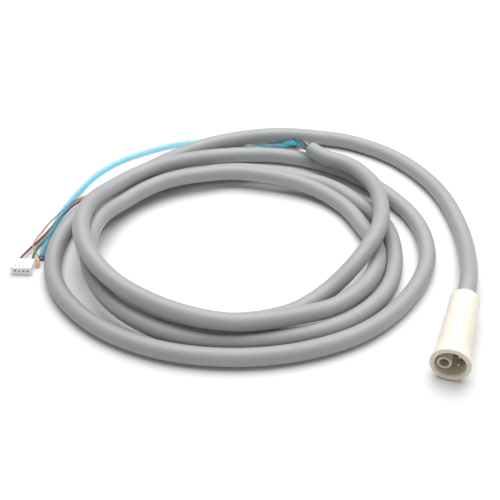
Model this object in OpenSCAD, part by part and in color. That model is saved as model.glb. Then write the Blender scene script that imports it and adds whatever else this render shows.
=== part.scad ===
// Detachable handpiece hose for a dental scaler: a grey hose lying in loose turns,
// with a cream socket connector on one end, and on the other a cut end from which
// a water tube and three wires run to a small crimp plug.
// Origin: on the table under the middle of the connector. The connector's axis lies
// along Y, its mouth faces -Y and the hose leaves it towards +Y. Millimetres.

/* [Connector] */
// Length of the connector shell, mouth to tail
conn_len = 43; // [40:0.5:44]
// Outer diameter of the mouth
mouth_d = 17; // [16:0.25:18]
// Outer diameter behind the flared mouth
neck_d = 14.75; // [14.5:0.25:15]
// Outer diameter at the tail
tail_d = 13.1; // [12.5:0.1:14]
// Bore of the socket recess in the mouth
recess_d = 12.8; // [12.6:0.1:13.2]
// Depth of the socket recess
recess_depth = 12; // [11:0.5:13]

/* [Water socket and pins] */
// Outer diameter of the water socket tube
socket_d = 6; // [5.6:0.1:6.2]
// Bore of the water socket tube
socket_bore = 4; // [3.6:0.1:4.2]
// How far the water socket stands to one side of the connector's axis
socket_off = 2.5; // [2.3:0.1:2.7]
// Diameter of each contact pin
pin_d = 1; // [0.8:0.1:1.1]
// Distance between the two contact pins
pin_gap = 4.2; // [4:0.1:4.6]
// How far the contact pins stand to the other side of the axis
pin_off = 3; // [2.8:0.1:3.1]

/* [Hose and lines] */
// Outer diameter of the hose
hose_d = 8; // [7.5:0.1:8.1]
// Outer diameter of the water tube
tube_d = 3; // [2.8:0.1:3]
// Bore of the water tube
tube_bore = 1.8; // [1.4:0.1:2]
// Outer diameter of the red and green wires
wire_d = 1.1; // [0.9:0.1:1.1]
// Outer diameter of the thin brown wire
brown_d = 0.6; // [0.5:0.05:0.6]

/* [Plug] */
// Width of the plug housing across its four ways
plug_w = 9.8; // [9.6:0.1:10]
// Length of the plug housing along its ways
plug_len = 7; // [6.5:0.1:7]
// Thickness of the plug housing
plug_h = 4.5; // [4.4:0.1:4.8]
// Distance between ways
plug_pitch = 2; // [2:0.05:2.05]
// How far the plug is turned from square on the table
plug_turn = 14; // [10:1:16]

/* [Hidden] */

$fn = 64;
gap = 0.1;                           // clearance between pieces that slide together
axis_h = mouth_d / 2;                // height of the connector's axis above the table
mouth_y = -conn_len / 2;
tail_y = conn_len / 2;

// Inside of the connector, from the mouth back
core_front = mouth_y + recess_depth; // bottom of the socket recess
core_seat_r = recess_d / 2 - 0.4;    // the core's seat, one small step in from the recess
core_len = 11;
core_back = core_front + core_len;
cavity_r = 5;                        // room for the barb, the leads and the clamp
tail_bore_r = hose_d / 2 + 0.15;     // the hose slides in here
tail_wall = 4.5;                     // length of the tail bore
sheath_in = tail_y - 12;             // where the hose ends inside the connector
lip = 0.9;                           // rounding of the mouth's rim
shoulder = 1.5;                      // rounding of the tail's edge
flare_len = conn_len * 0.18;

// Water socket, seal and barb
socket_front = mouth_y + 0.8;
socket_back = core_front + 5;
seal_y = socket_front + 6;           // middle of the seal's groove
seal_wire = 1;                       // thickness of the seal ring
groove_r = socket_bore / 2 + 0.55;
barb_x = -1.2;
barb_bore = 1.1;
barb_neck_r = 1.0;
barb_tip_r = 1.3;
barb_out = 6;                        // length of the barb behind the core
inner_tube_front = core_back + 0.2;

// Contact pins and the leads behind them
pin_front = mouth_y + 3.5;
pin_back = core_back + 3;
pin_root_r = 0.8;                    // the pins are thicker where the core holds them
lead_r = wire_d / 2;
lead_x = 1.8;
lead_up = pin_gap / 2;

// Hose clamp: a crimped ring on the hose inside the connector
clamp_front = sheath_in + 1.5;
clamp_len = 4;
clamp_wall = 0.5;

// The hose lies in loose turns about one centre. Each row is [distance from the
// centre, height of the hose's middle], and each next row is one spoke further round.
coil_centre = [-106, 47];
spoke_step = 20;
first_spoke = 1;
HOSE_LEAD = [[0, sheath_in, axis_h], [0, tail_y + 3, axis_h], [-0.5, 36, 8]];
HOSE_TURNS = [
    // first turn, on the table: right, back (over the water tube), left, front
    [104, 6.2], [101, 4], [101, 4], [100, 4], [95, 4], [82.7, 7.8], [76, 8.5], [75.5, 6], [78, 4],
    [84, 4], [93, 4], [99, 4], [98, 4], [94, 4], [90, 4], [88, 4], [87.5, 4], [86, 4],
    // second turn: it climbs over the crossing at the left and lies on top at the front
    [85, 4], [81, 4], [75, 4], [71, 4], [69, 4], [68, 4], [67, 5], [65.5, 8.5], [66, 13],
    [72, 15], [79.5, 19.5], [83.5, 21], [83.5, 19], [80, 15], [77.5, 12.5], [73, 10.5],
    [71, 8], [67.5, 8],
    // third turn: leans on the fourth at the back, crosses over it at the left
    [61, 6], [53, 4.5], [49, 4.5], [45.5, 5.5], [42.5, 7], [42, 7.7], [45.5, 7.8], [49, 8.5],
    [56.5, 9], [65.5, 8.5], [74.5, 12], [82, 12.5], [86.5, 9.5], [85, 6], [80.5, 4],
    [78.5, 4], [78.5, 4], [75.5, 4],
    // fourth turn, on the table: hidden under the second at the left and the front
    [69.5, 4], [64.5, 4], [57.5, 4], [54, 4], [50.7, 4], [50.4, 4], [53, 4], [56.5, 4], [63.5, 4],
    [74.5, 4], [82.5, 4], [78, 4], [74, 4], [71, 4], [68, 4], [64, 4], [59.5, 6], [59.5, 13],
    // last stretch: over the third turn and the first at the right, to the cut end
    [60.5, 16], [62, 14.5], [65.5, 13], [67, 12.2]];
HOSE_END = [[-86.5, 108.3, 12.4], [-95.6, 113.6, 12.3]];
HOSE_CUT = HOSE_END[1];
HOSE = concat(HOSE_LEAD,
    [for (i = [0 : len(HOSE_TURNS) - 1]) spoke(i, HOSE_TURNS[i])], HOSE_END);

// The plug lies flat on the table, turned a little
plug_at = [-199.6, -13, 0];
way_w = 1.4;
way_h = 2.6;
way_x = [for (i = [0 : 3]) (i - 1.5) * plug_pitch];
wire_hole = 0.7;
pin_hole = 1;                        // the square holes in the mating face
face_wall = 0.7;                     // thickness of the wall that they go through
wire_end = 1.4;                      // the wires end here in the plug, against the terminals
latch_w = 0.6;                       // the small latch slots in the top, behind the mating face
latch_len = 1;
latch_at = 1.1;

// The brown wire ends in a small sleeve that leans on the table beside the plug
SLEEVE = [[-195.7, -6.2, 3.4], [-193.9, -9.5, 1]];
sleeve_dir = unit(SLEEVE[1] - SLEEVE[0]);
sleeve_d = 1.9;
sleeve_in = 1.5;                     // depth of the sleeve's bore for the wire

// Lines out of the cut end. Each starts on the cut face, square to it.
cut_dir = unit(HOSE_CUT - HOSE[len(HOSE) - 2]);
cut_side = [-cut_dir[1], cut_dir[0], 0];
function from_cut(side, up, out) =
    HOSE_CUT + out * [cut_dir[0], cut_dir[1], 0] - side * cut_side + [0, 0, up];

TUBE = concat([from_cut(1, 0.2, 0), from_cut(1, 0.2, 4)], [
    [-104.6, 124.3, 8], [-110.5, 127, 5.5], [-116, 126.2, 3.3], [-122.5, 128.2, 1.7],
    [-130, 128.8, 1.5], [-139.5, 128.2, 1.5], [-148.5, 124.7, 1.5], [-157.5, 120.7, 1.5],
    [-171, 113, 1.5], [-185, 100, 1.5], [-197, 83, 1.5], [-202.5, 66, 1.5], [-203, 52, 2.2],
    [-202.5, 40, 2.9], [-202, 29, 2.9], [-199.8, 18, 2.9], [-198.4, 7, 2.2], [-197, 1, 1.6],
    [-195, -4, 1.5]]);
RED = concat([from_cut(-0.9, 1.7, 0), from_cut(-0.9, 1.7, 3)], [
    [-102, 118.8, 13.6], [-105.4, 124.6, 10.1], [-106.3, 127.2, 8.6], [-107.4, 129.4, 5.4],
    [-109.2, 131, 1.8], [-113, 134.2, 0.6], [-118, 135, 0.6], [-124, 133.8, 0.6],
    [-129, 131.8, 2.4], [-132.5, 129, 3.8], [-136, 125.8, 2.6], [-140.5, 124.4, 0.6],
    [-148.1, 120.6, 0.6], [-157.7, 115.2, 0.6], [-168.2, 104.8, 0.6], [-177, 93, 0.6],
    [-183.1, 80.5, 0.6], [-188.7, 67.8, 0.6], [-193.8, 58.2, 0.6], [-198.3, 49.8, 0.6],
    [-201.3, 42, 0.6], [-202.5, 31, 0.6], [-203, 20.5, 0.6], [-203.1, 13, 0.8], [-203.4, 5.5, 1.4],
    [-203.6, -1, 2.1],
    plug_point(way_x[0], 5, plug_h / 2), plug_point(way_x[0], wire_end, plug_h / 2)]);
GREEN = concat([from_cut(-1.7, 0.3, 0), from_cut(-1.7, 0.3, 3)], [
    [-103.2, 118.6, 12.3], [-107.5, 125.6, 9.4], [-108.7, 128.8, 7.4], [-110.2, 130.4, 3.2],
    [-112, 131.6, 1.4], [-115.5, 133, 0.6], [-119, 133.6, 0.6], [-124, 132.3, 0.6],
    [-128.4, 130.9, 2.9], [-131, 128.4, 4], [-134.2, 124.9, 2.6], [-139.5, 123, 0.6],
    [-147.5, 119.1, 0.6], [-157, 113.8, 0.6], [-167.5, 103.5, 0.6], [-175.8, 92, 0.6],
    [-181.8, 79.8, 0.6], [-187.3, 67, 0.6], [-192.3, 57.5, 0.6], [-196.5, 49, 0.6],
    [-199.3, 38, 0.6], [-200.4, 28, 0.6], [-200.7, 17, 0.6], [-201.2, 9, 0.8], [-200.9, 2, 1.5],
    [-199.4, -3, 2.2],
    plug_point(way_x[3], 5, plug_h / 2), plug_point(way_x[3], wire_end, plug_h / 2)]);
BROWN = concat([from_cut(-1.3, -1.1, 0), from_cut(-1.3, -1.1, 3)], [
    [-102.5, 119, 8.4], [-105, 124, 4.2], [-107.6, 130.3, 1.2], [-111.5, 134.6, 0.35],
    [-117, 136.4, 0.35], [-124.5, 135, 0.35], [-130.5, 132.6, 2.2], [-134, 129.6, 3.6],
    [-137.5, 126.3, 2.2], [-141.5, 125.6, 0.35], [-148.6, 121.7, 0.35], [-158.2, 116.3, 0.35],
    [-169, 105.8, 0.35], [-178, 93.7, 0.35], [-184.2, 81, 0.35], [-189.8, 68.3, 0.35],
    [-195, 59, 0.35], [-199.6, 51, 0.35], [-203.2, 44, 0.35], [-204.8, 34, 0.35],
    [-206, 24, 0.4], [-205.4, 15, 1], [-204.2, 8, 2.4], [-202.3, 2.2, 4],
    [-200.3, -1.5, 5.1], [-198.4, -3.7, 5.2],
    SLEEVE[0] - 2 * sleeve_dir, SLEEVE[0] + (sleeve_in - gap) * sleeve_dir]);

function unit(v) = v / norm(v);
function spoke(i, row) = let (a = first_spoke + spoke_step * i)
    [coil_centre[0] + row[0] * cos(a), coil_centre[1] + row[0] * sin(a), row[1]];
function plug_point(x, y, z) = [plug_at[0] + x * cos(plug_turn) - y * sin(plug_turn),
    plug_at[1] + x * sin(plug_turn) + y * cos(plug_turn), z];

// One tube swept along a route: a ring of n points square to the route at each point
module tube_along(route, d, n) {
    m = len(route);
    r = d / 2;
    rings = [for (i = [0 : m - 1])
        let (t = unit(route[min(i + 1, m - 1)] - route[max(i - 1, 0)]),
             s = unit(cross(t, [0, 0, 1])),
             u = cross(s, t))
        for (k = [0 : n - 1]) let (a = 360 * (k + 0.5) / n)
            route[i] + r * cos(a) * s + r * sin(a) * u];
    sides = [for (i = [0 : m - 2]) for (k = [0 : n - 1])
        [i * n + k, (i + 1) * n + k, (i + 1) * n + (k + 1) % n, i * n + (k + 1) % n]];
    start = [for (k = [0 : n - 1]) k];
    end = [for (k = [n - 1 : -1 : 0]) (m - 1) * n + k];
    polyhedron(points = rings, faces = concat(sides, [start, end]), convexity = 12);
}

// Places a child, drawn along +Z from 0, along the connector's axis from y
module on_axis(y = 0, x = 0, up = 0) {
    translate([x, y, axis_h + up]) rotate([-90, 0, 0]) children();
}

module connector_shell() {
    rm = mouth_d / 2;
    rt = tail_d / 2;
    outer = concat(
        [for (a = [270 : 15 : 360]) [rm - lip + lip * cos(a), lip + lip * sin(a)]],
        [[neck_d / 2 + 0.55, flare_len * 0.6], [neck_d / 2, flare_len]],
        [for (a = [0 : 15 : 90])
            [rt - shoulder + shoulder * cos(a), conn_len - shoulder + shoulder * sin(a)]]);
    color("oldlace") on_axis(mouth_y) difference() {
        rotate_extrude() polygon(concat([[0, 0]], outer, [[0, conn_len]]));
        translate([0, 0, -1]) cylinder(r = recess_d / 2, h = recess_depth + 1);
        cylinder(r = core_seat_r, h = recess_depth + core_len);
        cylinder(r = cavity_r, h = conn_len - tail_wall);
        cylinder(r = tail_bore_r, h = conn_len + 1);
    }
}

// The insulating core carries the water socket, the pins and the barb
module connector_core() {
    color("tan") difference() {
        on_axis(core_front) cylinder(r = core_seat_r - gap, h = core_len);
        on_axis(core_front - 1, -socket_off)
            cylinder(d = socket_d + gap, h = 1 + socket_back - core_front);
        on_axis(socket_back - 1, -socket_off) cylinder(d = socket_bore - 1, h = 3);
        on_axis(socket_back, barb_x) cylinder(r = barb_neck_r + gap / 2, h = core_len);
        for (up = [-pin_gap / 2, pin_gap / 2])
            on_axis(core_front - 1, pin_off, up)
                cylinder(r = pin_root_r + gap / 2, h = core_len + 2);
    }
}

module water_socket() {
    color("antiquewhite") on_axis(socket_front, -socket_off) difference() {
        cylinder(d = socket_d, h = socket_back - socket_front);
        translate([0, 0, -1]) cylinder(d = socket_bore, h = socket_back - socket_front + 2);
        translate([0, 0, seal_y - socket_front - seal_wire / 2 - gap])
            cylinder(r = groove_r, h = seal_wire + 2 * gap);
    }
}

module water_seal() {
    color("dimgray") on_axis(seal_y, -socket_off)
        rotate_extrude() translate([groove_r - gap - seal_wire / 2, 0]) circle(d = seal_wire);
}

// A pin with a rounded tip in front, a thicker root in the core and a solder cup behind
module contact_pin(up) {
    r = pin_d / 2;
    root = core_front - pin_front;
    end = pin_back - pin_front;
    color("silver") on_axis(pin_front, pin_off, up) difference() {
        rotate_extrude() polygon(concat([[0, 0]],
            [for (a = [-90 : 30 : 0]) [r - 0.3 + 0.3 * cos(a), 0.3 + 0.3 * sin(a)]],
            [[r, root], [pin_root_r, root], [pin_root_r, end], [0, end]]));
        translate([-1.8, -1.5, end - 2]) cube([1.8, 3, 3]);
    }
}

// The water tube inside the connector pushes on here
module water_barb() {
    front = socket_back + 2.2;
    out = core_back - front;
    color("goldenrod") on_axis(front, barb_x) rotate_extrude() polygon([
        [barb_bore / 2, 0], [barb_neck_r, 0], [barb_neck_r, out + 2], [barb_tip_r, out + 2.2],
        [barb_neck_r, out + 4], [barb_tip_r, out + 4.2], [barb_neck_r - 0.1, out + barb_out],
        [barb_bore / 2, out + barb_out]]);
}

module inner_water_tube() {
    color("skyblue") on_axis(inner_tube_front, barb_x) difference() {
        cylinder(d = tube_d + 0.4, h = sheath_in - inner_tube_front);
        translate([0, 0, -1]) cylinder(r = barb_tip_r + gap / 2, h = barb_out + 1.2);
        cylinder(d = tube_bore, h = conn_len);
    }
}

// A lead from one solder cup back into the hose
module inner_lead(up, tint) {
    color(tint) on_axis(pin_back - 1.8, lead_x, up)
        cylinder(r = lead_r, h = sheath_in - pin_back + 1.8);
}

module hose_clamp() {
    color("silver") on_axis(clamp_front) difference() {
        cylinder(r = tail_bore_r + clamp_wall, h = clamp_len);
        translate([0, 0, -1]) cylinder(r = hose_d / 2 + gap / 2, h = clamp_len + 2);
    }
}

module amber_sleeve() {
    v = SLEEVE[1] - SLEEVE[0];
    turn = atan2(v[1], v[0]);
    dip = acos(v[2] / norm(v));
    color("orange") translate(SLEEVE[0]) rotate([0, dip, turn]) difference() {
        cylinder(d = sleeve_d, h = norm(v), $fn = 24);
        translate([0, 0, -1]) cylinder(d = brown_d + 0.2, h = 1 + sleeve_in, $fn = 24);
    }
}

// Four ways: each has a pin hole in the mating face, a hole for its wire at the back
// and a window in the top for the contact's latch
module plug_housing() {
    color("white") translate(plug_at) rotate(plug_turn) difference() {
        translate([-plug_w / 2, -plug_len / 2, 0]) cube([plug_w, plug_len, plug_h]);
        for (x = way_x) {
            translate([x - pin_hole / 2, -plug_len / 2 - 1, (plug_h - pin_hole) / 2])
                cube([pin_hole, 2 + face_wall, pin_hole]);
            translate([x - way_w / 2, face_wall - plug_len / 2, (plug_h - way_h) / 2])
                cube([way_w, plug_len - face_wall - 1.2, way_h]);
            translate([x, plug_len / 2 - 2, plug_h / 2]) rotate([-90, 0, 0])
                cylinder(r = wire_hole, h = 3, $fn = 24);
            translate([x - latch_w / 2, latch_at - plug_len / 2, plug_h - 1.2])
                cube([latch_w, latch_len, 2]);
        }
    }
}

// A crimped socket contact in one way of the plug
module crimp_terminal(x) {
    tip = face_wall + gap - plug_len / 2;
    crimp = 1.2;                     // the solid stretch that grips the wire
    color("silver") translate(plug_at) rotate(plug_turn) translate([x, tip, plug_h / 2])
        difference() {
            translate([-0.55, 0, -0.8]) cube([1.1, wire_end - tip, 1.6]);
            translate([-0.35, -1, -0.4]) cube([0.7, wire_end - tip - crimp + 1, 0.8]);
        }
}

connector_shell();
connector_core();
water_socket();
water_seal();
contact_pin(pin_gap / 2);  // contact_pin_upper
contact_pin(-pin_gap / 2);  // contact_pin_lower
water_barb();
inner_water_tube();
inner_lead(lead_up, "firebrick");  // inner_lead_red
inner_lead(-lead_up, "seagreen");  // inner_lead_green
hose_clamp();
color("darkgray") tube_along(HOSE, hose_d, 12);  // hose_sheath
color("deepskyblue") tube_along(TUBE, tube_d, 8);  // water_tube
color("firebrick") tube_along(RED, wire_d, 8);  // red_wire
color("seagreen") tube_along(GREEN, wire_d, 8);  // green_wire
color("peru") tube_along(BROWN, brown_d, 8);  // brown_wire
amber_sleeve();
plug_housing();
crimp_terminal(way_x[0]);  // crimp_terminal_red
crimp_terminal(way_x[3]);  // crimp_terminal_green
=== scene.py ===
"""The visual model of a detachable dental handpiece hose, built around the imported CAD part.

A grey hose lies in loose turns. Its socket connector is at the front right. At its cut end a water
tube and three wires come out and run round to the left. Two of the wires end in a small crimp plug,
and the third in an amber sleeve. All lengths are in metres.
"""
import math
from bisect import bisect_right

import bmesh
import bpy
from mathutils import Matrix, Vector


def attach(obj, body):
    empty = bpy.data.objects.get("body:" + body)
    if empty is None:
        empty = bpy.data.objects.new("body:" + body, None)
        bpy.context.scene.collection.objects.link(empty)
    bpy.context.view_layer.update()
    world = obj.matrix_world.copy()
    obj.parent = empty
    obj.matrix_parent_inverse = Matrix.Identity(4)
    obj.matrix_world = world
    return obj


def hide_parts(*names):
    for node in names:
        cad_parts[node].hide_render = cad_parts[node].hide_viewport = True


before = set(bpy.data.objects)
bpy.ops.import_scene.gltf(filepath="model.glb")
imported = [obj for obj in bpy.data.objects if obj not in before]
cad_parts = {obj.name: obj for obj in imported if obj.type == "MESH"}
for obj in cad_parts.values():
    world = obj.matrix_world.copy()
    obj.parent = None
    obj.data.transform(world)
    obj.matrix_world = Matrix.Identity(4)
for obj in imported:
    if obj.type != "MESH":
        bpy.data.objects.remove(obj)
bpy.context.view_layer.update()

MM = 0.001
ROOT = "root"
UP = Vector((0, 0, 1))


# ---------------------------------------------------------------- sizes shared with the CAD part

CONN_LEN = 0.043
MOUTH_D = 0.017
NECK_D = 0.01475
TAIL_D = 0.0131
RECESS_D = 0.0128
RECESS_DEPTH = 0.012
CORE_LEN = 0.011
SOCKET_D = 0.006
SOCKET_BORE = 0.004
SOCKET_OFF = 0.0025                   # how far the socket stands left of the axis
HOSE_D = 0.008
HOSE_WALL = 0.0011
TUBE_D = 0.003
TUBE_BORE = 0.0018
WIRE_D = 0.0011
BROWN_D = 0.0006
PLUG_W, PLUG_LEN, PLUG_H = 0.0098, 0.007, 0.0045
PLUG_PITCH = 0.002
PLUG_TURN = math.radians(14)
WAY_W, WAY_H = 0.0014, 0.0026
PIN_HOLE = 0.001
FACE_WALL = 0.0007                    # thickness of the wall that the pin holes go through

AXIS_H = MOUTH_D / 2
MOUTH_Y = -CONN_LEN / 2
TAIL_Y = CONN_LEN / 2
SHEATH_IN = TAIL_Y - 0.012
GAP = 0.0001


# ---------------------------------------------------------------- routes, as in the CAD part

COIL_CENTRE = (-0.106, 0.047)
SPOKE_STEP = 20
FIRST_SPOKE = 1
HOSE_LEAD = [(0, SHEATH_IN, AXIS_H), (0, TAIL_Y + 0.003, AXIS_H), (-0.0005, 0.036, 0.008)]
HOSE_TURNS = [
    # first turn, on the table: right, back (over the water tube), left, front
    (0.104, 0.0062), (0.101, 0.004), (0.101, 0.004), (0.1, 0.004), (0.095, 0.004),
    (0.0827, 0.0078), (0.076, 0.0085), (0.0755, 0.006), (0.078, 0.004), (0.084, 0.004),
    (0.093, 0.004), (0.099, 0.004), (0.098, 0.004), (0.094, 0.004), (0.09, 0.004),
    (0.088, 0.004), (0.0875, 0.004), (0.086, 0.004),
    # second turn: it climbs over the crossing at the left and lies on top at the front
    (0.085, 0.004), (0.081, 0.004), (0.075, 0.004), (0.071, 0.004), (0.069, 0.004),
    (0.068, 0.004), (0.067, 0.005), (0.0655, 0.0085), (0.066, 0.013), (0.072, 0.015),
    (0.0795, 0.0195), (0.0835, 0.021), (0.0835, 0.019), (0.08, 0.015), (0.0775, 0.0125),
    (0.073, 0.0105), (0.071, 0.008), (0.0675, 0.008),
    # third turn: leans on the fourth at the back, crosses over it at the left
    (0.061, 0.006), (0.053, 0.0045), (0.049, 0.0045), (0.0455, 0.0055), (0.0425, 0.007),
    (0.042, 0.0077), (0.0455, 0.0078), (0.049, 0.0085), (0.0565, 0.009), (0.0655, 0.0085),
    (0.0745, 0.012), (0.082, 0.0125), (0.0865, 0.0095), (0.085, 0.006), (0.0805, 0.004),
    (0.0785, 0.004), (0.0785, 0.004), (0.0755, 0.004),
    # fourth turn, on the table: hidden under the second at the left and the front
    (0.0695, 0.004), (0.0645, 0.004), (0.0575, 0.004), (0.054, 0.004), (0.0507, 0.004),
    (0.0504, 0.004), (0.053, 0.004), (0.0565, 0.004), (0.0635, 0.004), (0.0745, 0.004),
    (0.0825, 0.004), (0.078, 0.004), (0.074, 0.004), (0.071, 0.004), (0.068, 0.004),
    (0.064, 0.004), (0.0595, 0.006), (0.0595, 0.013),
    # last stretch: over the third turn and the first at the right, to the cut end
    (0.0605, 0.016), (0.062, 0.0145), (0.0655, 0.013), (0.067, 0.0122),
]
HOSE_END = [(-0.0865, 0.1083, 0.0124), (-0.0956, 0.1136, 0.0123)]
HOSE_CUT = HOSE_END[1]

TUBE_ROUTE = [
    (-0.1046, 0.1243, 0.008), (-0.1105, 0.127, 0.0055), (-0.116, 0.1262, 0.0033),
    (-0.1225, 0.1282, 0.0017), (-0.13, 0.1288, 0.0015), (-0.1395, 0.1282, 0.0015),
    (-0.1485, 0.1247, 0.0015), (-0.1575, 0.1207, 0.0015), (-0.171, 0.113, 0.0015),
    (-0.185, 0.1, 0.0015), (-0.197, 0.083, 0.0015), (-0.2025, 0.066, 0.0015),
    (-0.203, 0.052, 0.0022), (-0.2025, 0.04, 0.0029), (-0.202, 0.029, 0.0029),
    (-0.1998, 0.018, 0.0029), (-0.1984, 0.007, 0.0022), (-0.197, 0.001, 0.0016),
    (-0.195, -0.004, 0.0015),
]
RED_ROUTE = [
    (-0.102, 0.1188, 0.0136), (-0.1054, 0.1246, 0.0101), (-0.1063, 0.1272, 0.0086),
    (-0.1074, 0.1294, 0.0054), (-0.1092, 0.131, 0.0018), (-0.113, 0.1342, 0.0006),
    (-0.118, 0.135, 0.0006), (-0.124, 0.1338, 0.0006), (-0.129, 0.1318, 0.0024),
    (-0.1325, 0.129, 0.0038), (-0.136, 0.1258, 0.0026), (-0.1405, 0.1244, 0.0006),
    (-0.1481, 0.1206, 0.0006), (-0.1577, 0.1152, 0.0006), (-0.1682, 0.1048, 0.0006),
    (-0.177, 0.093, 0.0006), (-0.1831, 0.0805, 0.0006), (-0.1887, 0.0678, 0.0006),
    (-0.1938, 0.0582, 0.0006), (-0.1983, 0.0498, 0.0006), (-0.2013, 0.042, 0.0006),
    (-0.2025, 0.031, 0.0006), (-0.203, 0.0205, 0.0006), (-0.2031, 0.013, 0.0008),
    (-0.2034, 0.0055, 0.0014), (-0.2036, -0.001, 0.0021),
]
GREEN_ROUTE = [
    (-0.1032, 0.1186, 0.0123), (-0.1075, 0.1256, 0.0094), (-0.1087, 0.1288, 0.0074),
    (-0.1102, 0.1304, 0.0032), (-0.112, 0.1316, 0.0014), (-0.1155, 0.133, 0.0006),
    (-0.119, 0.1336, 0.0006), (-0.124, 0.1323, 0.0006), (-0.1284, 0.1309, 0.0029),
    (-0.131, 0.1284, 0.004), (-0.1342, 0.1249, 0.0026), (-0.1395, 0.123, 0.0006),
    (-0.1475, 0.1191, 0.0006), (-0.157, 0.1138, 0.0006), (-0.1675, 0.1035, 0.0006),
    (-0.1758, 0.092, 0.0006), (-0.1818, 0.0798, 0.0006), (-0.1873, 0.067, 0.0006),
    (-0.1923, 0.0575, 0.0006), (-0.1965, 0.049, 0.0006), (-0.1993, 0.038, 0.0006),
    (-0.2004, 0.028, 0.0006), (-0.2007, 0.017, 0.0006), (-0.2012, 0.009, 0.0008),
    (-0.2009, 0.002, 0.0015), (-0.1994, -0.003, 0.0022),
]
BROWN_ROUTE = [
    (-0.1025, 0.119, 0.0084), (-0.105, 0.124, 0.0042), (-0.1076, 0.1303, 0.0012),
    (-0.1115, 0.1346, 0.00035), (-0.117, 0.1364, 0.00035), (-0.1245, 0.135, 0.00035),
    (-0.1305, 0.1326, 0.0022), (-0.134, 0.1296, 0.0036), (-0.1375, 0.1263, 0.0022),
    (-0.1415, 0.1256, 0.00035), (-0.1486, 0.1217, 0.00035), (-0.1582, 0.1163, 0.00035),
    (-0.169, 0.1058, 0.00035), (-0.178, 0.0937, 0.00035), (-0.1842, 0.081, 0.00035),
    (-0.1898, 0.0683, 0.00035), (-0.195, 0.059, 0.00035), (-0.1996, 0.051, 0.00035),
    (-0.2032, 0.044, 0.00035), (-0.2048, 0.034, 0.00035), (-0.206, 0.024, 0.0004),
    (-0.2054, 0.015, 0.001), (-0.2042, 0.008, 0.0024), (-0.2023, 0.0022, 0.004),
    (-0.2003, -0.0015, 0.0051), (-0.1984, -0.0037, 0.0052),
]
SLEEVE = [Vector((-0.1957, -0.0062, 0.0034)), Vector((-0.1939, -0.0095, 0.001))]
SLEEVE_D = 0.0019
SLEEVE_IN = 0.0015
PLUG_AT = Vector((-0.1996, -0.013, 0))
WIRE_END = 0.0014                     # where the wires end in the plug, along its own Y

# Where each line leaves the cut face: sideways and up from its middle
TUBE_EXIT = (0.001, 0.0002)
RED_EXIT = (-0.0009, 0.0017)
GREEN_EXIT = (-0.0017, 0.0003)
BROWN_EXIT = (-0.0013, -0.0011)
LINE_START = -0.009                   # how far the lines are drawn back into the hose


def spoke(number, row):
    """The point on one spoke of the coil: row is (distance from the centre, height)."""
    a = math.radians(FIRST_SPOKE + SPOKE_STEP * number)
    return (COIL_CENTRE[0] + row[0] * math.cos(a), COIL_CENTRE[1] + row[0] * math.sin(a), row[1])


def plug_point(x, y, z):
    """A point given in the plug's own frame."""
    return PLUG_AT + Matrix.Rotation(PLUG_TURN, 3, "Z") @ Vector((x, y, z))


def way_x(number):
    """The middle of one of the plug's four ways, across the plug."""
    return (number - 1.5) * PLUG_PITCH


HOSE_ROUTE = HOSE_LEAD + [spoke(i, row) for i, row in enumerate(HOSE_TURNS)] + HOSE_END
CUT_DIR = (Vector(HOSE_CUT) - Vector(HOSE_ROUTE[-2])).normalized()
CUT_SIDE = Vector((-CUT_DIR.y, CUT_DIR.x, 0)).normalized()


def from_cut(side, up, out):
    """A point near the hose's cut face: side and up from its middle, out along the hose."""
    along = Vector((CUT_DIR.x, CUT_DIR.y, 0))
    return Vector(HOSE_CUT) + along * out - CUT_SIDE * side + UP * up


# ---------------------------------------------------------------- curves and meshes

STEPS = 8                             # pieces of a smooth curve between two of its points


def level_slopes(before, after, slope):
    """The height's slope at a point, held back so that the curve never dips below its points."""
    if before * after <= 0:
        return 0
    limit = 3 * min(abs(before), abs(after))
    return math.copysign(min(abs(slope), limit), slope)


def smooth(route):
    """One smooth curve through the route's points."""
    points = [Vector(p) for p in route]
    gaps = [(b - a).length for a, b in zip(points, points[1:])]
    ways = [(b - a) / d for a, b, d in zip(points, points[1:], gaps)]
    slopes = [ways[0]]
    for i in range(1, len(points) - 1):
        slope = (ways[i - 1] * gaps[i] + ways[i] * gaps[i - 1]) / (gaps[i - 1] + gaps[i])
        slope.z = level_slopes(ways[i - 1].z, ways[i].z, slope.z)
        slopes.append(slope)
    slopes.append(ways[-1])
    curve = []
    for i, d in enumerate(gaps):
        for j in range(STEPS):
            t = j / STEPS
            curve.append(points[i] * (2 * t**3 - 3 * t**2 + 1)
                         + slopes[i] * d * (t**3 - 2 * t**2 + t)
                         + points[i + 1] * (3 * t**2 - 2 * t**3)
                         + slopes[i + 1] * d * (t**3 - t**2))
    return curve + [points[-1]]


class Path:
    """A curve that can be asked for the place and direction at a distance along it."""

    def __init__(self, points):
        self.points = points
        self.at = [0.0]               # each point's distance along the curve
        for a, b in zip(points, points[1:]):
            self.at.append(self.at[-1] + (b - a).length)
        self.length = self.at[-1]

    def frame(self, distance):
        """Place, sideways and upward directions at a distance along the path."""
        s = min(max(distance, 0), self.length)
        i = min(bisect_right(self.at, s) - 1, len(self.points) - 2)
        t = (s - self.at[i]) / (self.at[i + 1] - self.at[i])
        place = self.points[i].lerp(self.points[i + 1], t)
        before = self.points[max(i - 1, 0)]
        after = self.points[min(i + 2, len(self.points) - 1)]
        way_in = (self.points[i + 1] - before).normalized()
        way_out = (after - self.points[i]).normalized()
        way = way_in.lerp(way_out, t).normalized()
        side = way.cross(UP).normalized()
        return place, side, side.cross(way)


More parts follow.
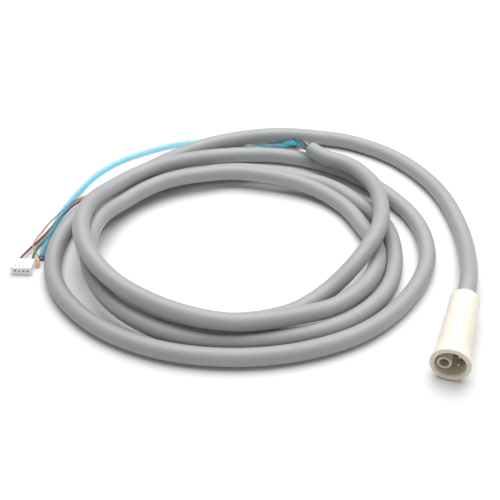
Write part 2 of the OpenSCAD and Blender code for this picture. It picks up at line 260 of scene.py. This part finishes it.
def link(name, mesh, material, smooth_angle=None):
    """Puts a mesh in the scene as one piece of the object, riding on the CAD body."""
    mesh.validate()
    mesh.update()
    piece = bpy.data.objects.new(name, mesh)
    bpy.context.scene.collection.objects.link(piece)
    mesh.materials.append(material)
    mesh.shade_smooth()
    if smooth_angle is not None:
        mesh.set_sharp_from_angle(angle=math.radians(smooth_angle))
    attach(piece, ROOT)
    return piece


def solid_mesh(name, verts, faces):
    """A mesh with all its faces turned outwards."""
    mesh = bpy.data.meshes.new(name)
    mesh.from_pydata([tuple(v) for v in verts], [], faces)
    bm = bmesh.new()
    bm.from_mesh(mesh)
    bmesh.ops.recalc_face_normals(bm, faces=bm.faces)
    bm.to_mesh(mesh)
    bm.free()
    return mesh


def ring_mesh(name, rings, closed=False):
    """A closed mesh from rings of equal length, each joined to the next.

    Open ends are capped, and closed joins the last ring to the first.
    """
    n = len(rings[0])
    verts = [p for ring in rings for p in ring]
    faces = []
    last = len(rings) if closed else len(rings) - 1
    for i in range(last):
        a, b = i * n, (i + 1) % len(rings) * n
        for k in range(n):
            m = (k + 1) % n
            faces.append((a + k, b + k, b + m, a + m))
    if not closed:
        faces.append(tuple(range(n)))
        faces.append(tuple((len(rings) - 1) * n + k for k in reversed(range(n))))
    return solid_mesh(name, verts, faces)


def swept(name, path, profile, sides, closed=False):
    """A tube along a path: profile is a list of (distance along the path, radius)."""
    rings = []
    for distance, radius in profile:
        place, side, up = path.frame(distance)
        ring = []
        for k in range(sides):
            a = 2 * math.pi * (k + 0.5) / sides
            ring.append(place + side * radius * math.cos(a) + up * radius * math.sin(a))
        rings.append(ring)
    return ring_mesh(name, rings, closed)


def turned(name, profile, sides, closed=True, x=0, z=AXIS_H):
    """A turned piece about an axis along Y: profile is a list of (y, radius)."""
    rings = []
    for y, radius in profile:
        ring = []
        for k in range(sides):
            a = 2 * math.pi * k / sides
            ring.append(Vector((x + radius * math.cos(a), y, z + radius * math.sin(a))))
        rings.append(ring)
    return ring_mesh(name, rings, closed)


def arc(y, r, radius, start, end, steps):
    """Points (y, radius) of a quarter round about (y, r), from angle start to end in degrees."""
    out = []
    for i in range(steps + 1):
        a = math.radians(start + (end - start) * i / steps)
        out.append((y + radius * math.cos(a), r + radius * math.sin(a)))
    return out


# ---------------------------------------------------------------- materials

class Nodes:
    """A material being built: new nodes and the links between them."""

    def __init__(self, name):
        self.material = bpy.data.materials.new(name)
        self.material.use_nodes = True
        self.tree = self.material.node_tree
        self.shader = self.tree.nodes["Principled BSDF"]
        coords = self.tree.nodes.new("ShaderNodeTexCoord")
        self.place = coords.outputs["Object"]

    def noise(self, scale, detail=3):
        """A noise value that varies over about 1 / scale metres."""
        node = self.tree.nodes.new("ShaderNodeTexNoise")
        node.inputs["Scale"].default_value = scale
        node.inputs["Detail"].default_value = detail
        self.tree.links.new(self.place, node.inputs["Vector"])
        return node.outputs["Fac"]

    def spread(self, value, low, high, start=0.3, end=0.7):
        """Maps a value between start and end to the range from low to high."""
        node = self.tree.nodes.new("ShaderNodeMapRange")
        node.inputs["From Min"].default_value = start
        node.inputs["From Max"].default_value = end
        node.inputs["To Min"].default_value = low
        node.inputs["To Max"].default_value = high
        self.tree.links.new(value, node.inputs["Value"])
        return node.outputs["Result"]

    def along_y(self, start, end):
        """A value that grows from 0 to 1 while y goes from start to end."""
        node = self.tree.nodes.new("ShaderNodeSeparateXYZ")
        self.tree.links.new(self.place, node.inputs["Vector"])
        return self.spread(node.outputs["Y"], 0, 1, start, end)

    def blend(self, factor, first, second):
        """Mixes two colours by a factor."""
        node = self.tree.nodes.new("ShaderNodeMix")
        node.data_type = "RGBA"
        node.inputs["A"].default_value = (*first, 1)
        node.inputs["B"].default_value = (*second, 1)
        self.tree.links.new(factor, node.inputs["Factor"])
        return node.outputs["Result"]

    def bump(self, height, depth, strength=1.0, under=None):
        """Relief of a depth in metres, laid over the relief under it."""
        node = self.tree.nodes.new("ShaderNodeBump")
        node.inputs["Distance"].default_value = depth
        node.inputs["Strength"].default_value = strength
        self.tree.links.new(height, node.inputs["Height"])
        if under is not None:
            self.tree.links.new(under, node.inputs["Normal"])
        return node.outputs["Normal"]

    def drive(self, socket, value):
        """Feeds a socket of the shader."""
        self.tree.links.new(value, self.shader.inputs[socket])

    def fix(self, **values):
        """Sets sockets of the shader to constants; an underscore stands for a space."""
        for socket, value in values.items():
            self.shader.inputs[socket.replace("_", " ")].default_value = value


def moulded(name, light, dark, rough, patch, grain, depth, **fixed):
    """A moulded or extruded surface: large soft colour patches, and a fine grain in its relief."""
    n = Nodes(name)
    n.drive("Base Color", n.blend(n.spread(n.noise(patch), 0, 1), dark, light))
    n.drive("Roughness", n.spread(n.noise(patch * 3), rough - 0.05, rough + 0.05))
    coarse = n.bump(n.noise(grain / 4, detail=2), depth, strength=0.5)
    n.drive("Normal", n.bump(n.noise(grain), depth, strength=0.7, under=coarse))
    n.fix(**fixed)
    return n.material


DEEP_Y, TINT_Y = 0.018, 0.06          # the tube is coloured darker between these, towards the plug


def clear(name, tint, deep, rough, **fixed):
    """A tinted plastic, coloured darker towards the plug where it lies over the wires; an Alpha
    value makes it see-through.
    """
    n = Nodes(name)
    n.drive("Base Color", n.blend(n.along_y(DEEP_Y, TINT_Y), deep, tint))
    n.drive("Roughness", n.spread(n.noise(200), rough - 0.02, rough + 0.02))
    n.fix(**fixed)
    return n.material


def metal(name, light, dark, rough, grain):
    """Plated or turned metal with fine scratches and slightly uneven polish."""
    n = Nodes(name)
    n.drive("Base Color", n.blend(n.spread(n.noise(grain / 5), 0, 1), dark, light))
    n.drive("Roughness", n.spread(n.noise(grain), rough - 0.08, rough + 0.1))
    n.drive("Normal", n.bump(n.noise(grain * 2), 4e-6))
    n.fix(Metallic=1.0)
    return n.material


SHEATH = moulded("grey_sheath", (0.37, 0.373, 0.375), (0.345, 0.348, 0.35),
                 0.48, 45, 2600, 14e-6,
                 Specular_IOR_Level=0.5, Sheen_Weight=0.08, Sheen_Roughness=0.4)
SHEATH_INSIDE = moulded("grey_sheath_inside", (0.42, 0.41, 0.38), (0.33, 0.32, 0.30),
                        0.7, 300, 3000, 20e-6)
CREAM = moulded("cream_plastic", (0.88, 0.83, 0.70), (0.85, 0.79, 0.66), 0.42, 60, 3200, 6e-6,
                Coat_Weight=0.08, Coat_Roughness=0.3)
# The same cream plastic made darker and browner: painted shade on the mouth's rim face.
CREAM_RIM_SHADE = moulded("cream_plastic_rim_painted_shade", (0.80, 0.72, 0.60), (0.76, 0.68, 0.56),
                      0.5, 60, 3200, 8e-6)
IVORY = moulded("ivory_plastic", (0.64, 0.55, 0.43), (0.60, 0.51, 0.39), 0.42, 120, 3600, 6e-6,
                Subsurface_Weight=0.08, Subsurface_Scale=0.001)
TAN = moulded("tan_plastic", (0.42, 0.34, 0.24), (0.36, 0.29, 0.20), 0.5, 160, 3600, 8e-6)
SEAL = moulded("seal_rubber", (0.035, 0.034, 0.033), (0.02, 0.02, 0.02), 0.5, 400, 5000, 6e-6)
NYLON = moulded("white_nylon", (0.93, 0.93, 0.915), (0.90, 0.90, 0.885), 0.4, 200, 5200, 5e-6)
WATER = clear("blue_tubing", (0.12, 0.73, 0.96), (0.05, 0.34, 0.46), 0.2, Alpha=0.29, IOR=1.4)
CUT_TINT = (0.01, 0.13, 0.27)         # the cut end is seen along the wall, so it looks dark
WATER_END = clear("blue_tubing_end", CUT_TINT, CUT_TINT, 0.3, IOR=1.4)
RED = moulded("red_insulation", (0.28, 0.042, 0.04), (0.23, 0.034, 0.034),
              0.32, 250, 5000, 5e-6)
GREEN = moulded("green_insulation", (0.03, 0.22, 0.155), (0.024, 0.18, 0.125),
                0.32, 250, 5000, 5e-6)
BROWN = moulded("brown_insulation", (0.52, 0.31, 0.17), (0.44, 0.25, 0.13),
                0.32, 250, 5000, 4e-6)
AMBER = moulded("amber_resin", (0.93, 0.60, 0.29), (0.86, 0.48, 0.18), 0.25, 500, 3000, 6e-6,
                Transmission_Weight=0.3, Subsurface_Weight=0.4, Subsurface_Scale=0.001,
                Coat_Weight=0.4, Coat_Roughness=0.1)
CONTACT = metal("contact_metal", (0.83, 0.76, 0.62), (0.74, 0.67, 0.54), 0.25, 2500)
BRASS = metal("barb_brass", (0.78, 0.58, 0.27), (0.68, 0.49, 0.22), 0.3, 2500)
TINNED = metal("terminal_metal", (0.76, 0.75, 0.72), (0.66, 0.65, 0.62), 0.3, 2500)
STEEL = metal("clamp_steel", (0.66, 0.66, 0.65), (0.56, 0.56, 0.55), 0.35, 1800)


# ---------------------------------------------------------------- camera and light

CAMERA_AT = (0.00745, -0.2989, 0.2751)
CAMERA_DOWN, CAMERA_TURN = 38, 18.43  # degrees below level, and to the left of straight ahead
SENSOR_MM, LENS_MM = 36, 66.72


def add_camera():
    """The viewing point, in front and to the right of the turns."""
    data = bpy.data.cameras.new("camera")
    data.sensor_width = SENSOR_MM
    data.lens = LENS_MM
    camera = bpy.data.objects.new("camera", data)
    bpy.context.scene.collection.objects.link(camera)
    camera.location = CAMERA_AT
    camera.rotation_euler = (math.radians(90 - CAMERA_DOWN), 0, math.radians(CAMERA_TURN))
    bpy.context.scene.camera = camera


def add_light(name, place, aim, size, watts):
    """A square white softbox that faces the point aim."""
    data = bpy.data.lights.new(name, "AREA")
    data.shape = "SQUARE"
    data.size = size
    data.energy = watts
    lamp = bpy.data.objects.new(name, data)
    bpy.context.scene.collection.objects.link(lamp)
    lamp.location = place
    way = Vector(aim) - Vector(place)
    lamp.rotation_euler = way.to_track_quat("-Z", "Y").to_euler()


def add_studio():
    """A white table, a pale surround, a large softbox above and behind, and a weak one in front."""
    world = bpy.data.worlds.new("surround")
    world.use_nodes = True
    background = world.node_tree.nodes["Background"]
    background.inputs["Color"].default_value = (0.95, 0.97, 1, 1)
    background.inputs["Strength"].default_value = 0.22
    bpy.context.scene.world = world
    bpy.context.scene.view_settings.view_transform = "Standard"
    middle = (-0.1, 0.05, 0)
    add_light("overhead_softbox", (-0.12, 0.32, 0.85), middle, 1.1, 15)
    add_light("front_softbox", (0.15, -0.75, 0.4), middle, 0.6, 0.5)
    mesh = bpy.data.meshes.new("table_top")
    half = 3
    mesh.from_pydata([(-half, -half, 0), (half, -half, 0), (half, half, 0), (-half, half, 0)],
                     [], [(0, 1, 2, 3)])
    table = bpy.data.objects.new("table_top", mesh)
    table.location.z = -0.05 * MM
    bpy.context.scene.collection.objects.link(table)
    n = Nodes("white_table")
    n.drive("Base Color", n.blend(n.spread(n.noise(4), 0, 1),
                                  (0.80, 0.805, 0.81), (0.82, 0.825, 0.83)))
    n.fix(Roughness=0.8, Specular_IOR_Level=0.2)
    mesh.materials.append(n.material)


add_camera()
add_studio()


# ---------------------------------------------------------------- hose

HOSE_SIDES, TUBE_SIDES, WIRE_SIDES = 40, 28, 16
HOSE_PITCH, BORE_PITCH, LINE_PITCH = 0.003, 0.001, 0.0012   # from one ring of the mesh to the next


def steps_along(start, end, pitch):
    """Distances from start to end, about pitch apart."""
    n = max(1, round((end - start) / pitch))
    return [start + (end - start) * i / n for i in range(n + 1)]


def make_hose():
    """The grey sheath, from inside the connector to its hollow cut end."""
    path = Path(smooth(HOSE_ROUTE))
    r, bore = HOSE_D / 2, HOSE_D / 2 - HOSE_WALL
    end, lip, depth = path.length, 0.0002, 0.012
    outside = [(d, r) for d in steps_along(0, end - 4 * lip, HOSE_PITCH)]
    outside += [(end - lip, r), (end - lip * 0.3, r - lip * 0.3), (end, r - lip)]
    inside = [(end, bore + lip), (end - lip, bore)]
    inside += [(d, bore) for d in steps_along(end - 2 * lip, end - depth, -BORE_PITCH)]
    mesh = swept("hose", path, outside + inside, HOSE_SIDES)
    hose = link("hose", mesh, SHEATH)
    mesh.materials.append(SHEATH_INSIDE)
    for face in mesh.polygons:
        if min(face.vertices) // HOSE_SIDES > len(outside):
            face.material_index = 1
    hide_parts("hose_sheath")


make_hose()


# ---------------------------------------------------------------- water tube and wires

def line_path(leave, out, route):
    """The path of a line: square out of the cut face at the place leave, then on by its route."""
    head = [from_cut(*leave, distance) for distance in (LINE_START, 0, out)]
    return Path(smooth(head + route))


def make_water_tube():
    """The translucent tube, hollow and open at its free end."""
    path = line_path(TUBE_EXIT, 0.004, TUBE_ROUTE)
    r, bore = TUBE_D / 2, TUBE_BORE / 2
    lip = 0.00012
    outer = [(d, r) for d in steps_along(0, path.length - 5 * lip, LINE_PITCH)]
    inner = [(d, bore) for d in steps_along(path.length - 5 * lip, 0, -LINE_PITCH)]
    end = [(path.length - lip, r), (path.length, r - lip), (path.length, bore + lip),
           (path.length - lip, bore)]
    mesh = swept("water_tubing", path, outer + end + inner, TUBE_SIDES, closed=True)
    tube = link("water_tubing", mesh, WATER)
    mesh.materials.append(WATER_END)
    for face in mesh.polygons:
        if len(outer) - 1 <= face.vertices[0] // TUBE_SIDES < len(outer) + len(end):
            face.material_index = 1
    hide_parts("water_tube")


def make_wire(colour, material, leave, route, diameter):
    """One insulated wire: its piece is COLOUR_lead, and it stands for the node COLOUR_wire."""
    path = line_path(leave, 0.003, route)
    name = colour + "_lead"
    profile = [(d, diameter / 2) for d in steps_along(0, path.length, LINE_PITCH)]
    mesh = swept(name, path, profile, WIRE_SIDES)
    wire = link(name, mesh, material)
    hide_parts(colour + "_wire")


def into_way(number):
    """A wire's last two points: behind the plug, and inside one of its ways."""
    return [plug_point(way_x(number), y, PLUG_H / 2) for y in (0.005, WIRE_END)]


def make_lines(plug, sleeve):
    """The water tube and the three wires."""
    make_water_tube()
    make_wire("red", RED, RED_EXIT, RED_ROUTE + into_way(0), WIRE_D)
    make_wire("green", GREEN, GREEN_EXIT, GREEN_ROUTE + into_way(3), WIRE_D)
    way = (SLEEVE[1] - SLEEVE[0]).normalized()
    into_sleeve = [SLEEVE[0] - way * 2 * MM, SLEEVE[0] + way * (SLEEVE_IN - GAP)]
    make_wire("brown", BROWN, BROWN_EXIT, BROWN_ROUTE + into_sleeve, BROWN_D)


# ---------------------------------------------------------------- plug and sleeve

def block(low, high, bevel=0.0):
    """A box mesh from its low corner to its high corner, its edges rounded by bevel."""
    bm = bmesh.new()
    bmesh.ops.create_cube(bm, size=1)
    size = Vector(high) - Vector(low)
    middle = (Vector(high) + Vector(low)) / 2
    bmesh.ops.scale(bm, vec=size, verts=bm.verts)
    bmesh.ops.translate(bm, vec=middle, verts=bm.verts)
    if bevel:
        bmesh.ops.bevel(bm, geom=list(bm.edges), offset=bevel, segments=3, affect="EDGES",
                        profile=0.5, clamp_overlap=True)
    mesh = bpy.data.meshes.new("block")
    bm.to_mesh(mesh)
    bm.free()
    return mesh


def funnel(x, y, z, wide, narrow, depth):
    """A short square funnel, wide at y and narrow at y + depth."""
    verts = []
    for half, at in ((wide / 2, y), (narrow / 2, y + depth)):
        verts += [(x - half, at, z - half), (x + half, at, z - half),
                  (x + half, at, z + half), (x - half, at, z + half)]
    faces = [(0, 1, 2, 3), (7, 6, 5, 4), (0, 4, 5, 1), (1, 5, 6, 2), (2, 6, 7, 3), (3, 7, 4, 0)]
    return solid_mesh("funnel", verts, faces)


ROD_SIDES = 24


def rod(x, y, z, radius, length):
    """A round cutter along +Y from y."""
    profile = [(y, radius), (y + length, radius)]
    return turned("rod", profile, ROD_SIDES, closed=False, x=x, z=z)


def cut_away(mesh, cutters, edge):
    """The mesh less the cutters, with its sharp edges softened by edge."""
    body = bpy.data.objects.new("body", mesh)
    bpy.context.scene.collection.objects.link(body)
    used = []
    for cutter in cutters:
        tool = bpy.data.objects.new("cutter", cutter)
        bpy.context.scene.collection.objects.link(tool)
        step = body.modifiers.new("cut", "BOOLEAN")
        step.object = tool
        step.solver = "EXACT"
        used.append(tool)
    soften = body.modifiers.new("soften", "BEVEL")
    soften.width = edge
    soften.segments = 2
    soften.limit_method = "ANGLE"
    soften.angle_limit = math.radians(40)
    bpy.context.view_layer.update()
    finished = body.evaluated_get(bpy.context.evaluated_depsgraph_get())
    result = bpy.data.meshes.new_from_object(finished)
    for o in used + [body]:
        bpy.data.objects.remove(o)
    return result


def make_plug():
    """The four-way housing: pin holes in front, latch windows on top, wire holes at the back."""
    w, front, back, h = PLUG_W / 2, -PLUG_LEN / 2, PLUG_LEN / 2, PLUG_H
    middle = h / 2
    step, rib = 0.0003, 0.0009        # the top lies a step lower between two ribs
    cutters = [block((-w + rib, front - MM, h - step), (w - rib, back + MM, h + MM))]
    groove = 0.0012                   # in each side: from the front, from the edges, and its length
    for side in (-1, 1):
        cutters.append(block((side * w - step, front + groove, groove),
                             (side * w + step, front + 2 * groove, h - groove)))
    pin, pin_mouth = PIN_HOLE / 2, 0.00125
    way, rise, back_wall = WAY_W / 2, WAY_H / 2, 0.0012
    slot, slot_from, slot_to, slot_depth = 0.0003, 0.0011, 0.0021, 0.0012
    wire_hole = 0.00068               # just narrower than the way, so their walls don't coincide
    for x in [way_x(i) for i in range(4)]:
        cutters.append(funnel(x, front - GAP, middle, pin_mouth, PIN_HOLE, 3 * GAP))
        cutters.append(block((x - pin, front - MM, middle - pin),
                             (x + pin, front + MM, middle + pin)))
        cutters.append(block((x - way, front + FACE_WALL, middle - rise),
                             (x + way, back - back_wall, middle + rise)))
        cutters.append(block((x - slot, front + slot_from, h - slot_depth),
                             (x + slot, front + slot_to, h + MM)))
        cutters.append(rod(x, back - 2 * MM, middle, wire_hole, 3 * MM))
    outer_edge, cut_edge = 0.0002, 0.00005
    mesh = cut_away(block((-w, front, 0), (w, back, h), outer_edge), cutters, cut_edge)
    mesh.transform(Matrix.Translation(PLUG_AT) @ Matrix.Rotation(PLUG_TURN, 4, "Z"))
    mesh.name = "plug_body"
    plug = link("plug_body", mesh, NYLON, smooth_angle=30)
    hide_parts("plug_housing")
    return plug


def make_sleeve():
    """The amber sleeve: a short glossy bead of resin-filled sleeving, a little fuller in front."""
    path = Path([SLEEVE[0].lerp(SLEEVE[1], i / 10) for i in range(11)])
    # (share of the length, share of the radius)
    shape = [(0, 0.45), (0.02, 0.62), (0.07, 0.8), (0.16, 0.92), (0.3, 0.98), (0.5, 1),
             (0.7, 0.97), (0.84, 0.88), (0.93, 0.72), (0.98, 0.5), (1, 0.3)]
    profile = [(t * path.length, f * SLEEVE_D / 2) for t, f in shape]
    mesh = swept("amber_bead", path, profile, TUBE_SIDES)
    sleeve = link("amber_bead", mesh, AMBER)
    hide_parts("amber_sleeve")
    return sleeve


make_lines(make_plug(), make_sleeve())


# ---------------------------------------------------------------- connector

SHELL_SIDES, SOCKET_SIDES = 128, 96


def make_shell():
    """The moulded shell: flared mouth with a rounded lip, long taper, rounded tail."""
    rm, rn, rt = MOUTH_D / 2, NECK_D / 2, TAIL_D / 2
    # roundings: the mouth's rim, the tail, the tail bore's edge, and the recess's edge
    lip, shoulder, edge, mouth_edge = 0.0009, 0.0015, 0.0002, 0.0008
    flare = CONN_LEN * 0.18
    recess_r, seat_r, cavity_r = RECESS_D / 2, RECESS_D / 2 - 0.0004, 0.005
    bore_r, bore_y = HOSE_D / 2 + 0.00015, TAIL_Y - 0.0045
    core_front = MOUTH_Y + RECESS_DEPTH
    core_back = core_front + CORE_LEN
    side = smooth([(MOUTH_Y + lip, 0, rm), (MOUTH_Y + flare * 0.6, 0, rn + 0.00055),
                   (MOUTH_Y + flare, 0, rn), (MOUTH_Y + flare * 1.8, 0, rn - 0.0002),
                   (TAIL_Y - shoulder, 0, rt)])
    profile = arc(MOUTH_Y + lip, rm - lip, lip, 180, 90, 8)
    profile += [(p.x, p.z) for p in side[1:-1]]
    profile += arc(TAIL_Y - shoulder, rt - shoulder, shoulder, 90, 0, 8)
    profile += arc(TAIL_Y - edge, bore_r + edge, edge, 0, -90, 4)
    profile += [(bore_y, bore_r), (bore_y, cavity_r), (core_back, cavity_r),
                (core_back, seat_r), (core_front, seat_r), (core_front, recess_r)]
    profile += arc(MOUTH_Y + mouth_edge, recess_r + mouth_edge, mouth_edge, 270, 180, 5)
    mesh = turned("connector_body", profile, SHELL_SIDES)
    shell = link("connector_body", mesh, CREAM, smooth_angle=35)
    # the rim faces get the darker cream, which is painted shade
    mesh.materials.append(CREAM_RIM_SHADE)
    for face in mesh.polygons:
        if face.center.y < MOUTH_Y + mouth_edge:
            face.material_index = 1
    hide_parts("connector_shell")


def make_socket():
    """The water socket tube with a rounded front edge and the groove of its seal."""
    front, back = MOUTH_Y + 0.0008, MOUTH_Y + RECESS_DEPTH + 0.005
    r, bore = SOCKET_D / 2, SOCKET_BORE / 2
    outer_edge, inner_edge = 0.0003, 0.00025
    groove, seal, half = bore + 0.00055, front + 0.006, 0.0006
    profile = arc(front + outer_edge, r - outer_edge, outer_edge, 180, 90, 5)
    profile += [(back, r), (back, bore), (seal + half, bore), (seal + half, groove),
                (seal - half, groove), (seal - half, bore)]
    profile += arc(front + inner_edge, bore + inner_edge, inner_edge, 270, 180, 5)
    mesh = turned("water_socket_tube", profile, SOCKET_SIDES, x=-SOCKET_OFF)
    socket = link("water_socket_tube", mesh, IVORY, smooth_angle=35)
    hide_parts("water_socket")


make_shell()
make_socket()


# ---------------------------------------------------------------- CAD pieces that stay as they are

KEPT = {
    "connector_core": TAN,
    "water_seal": SEAL,
    "contact_pin_upper": CONTACT,
    "contact_pin_lower": CONTACT,
    "water_barb": BRASS,
    "inner_water_tube": WATER,
    "inner_lead_red": RED,
    "inner_lead_green": GREEN,
    "hose_clamp": STEEL,
    "crimp_terminal_red": TINNED,
    "crimp_terminal_green": TINNED,
}
for kept, finish in KEPT.items():
    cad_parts[kept].material_slots[0].material = finish
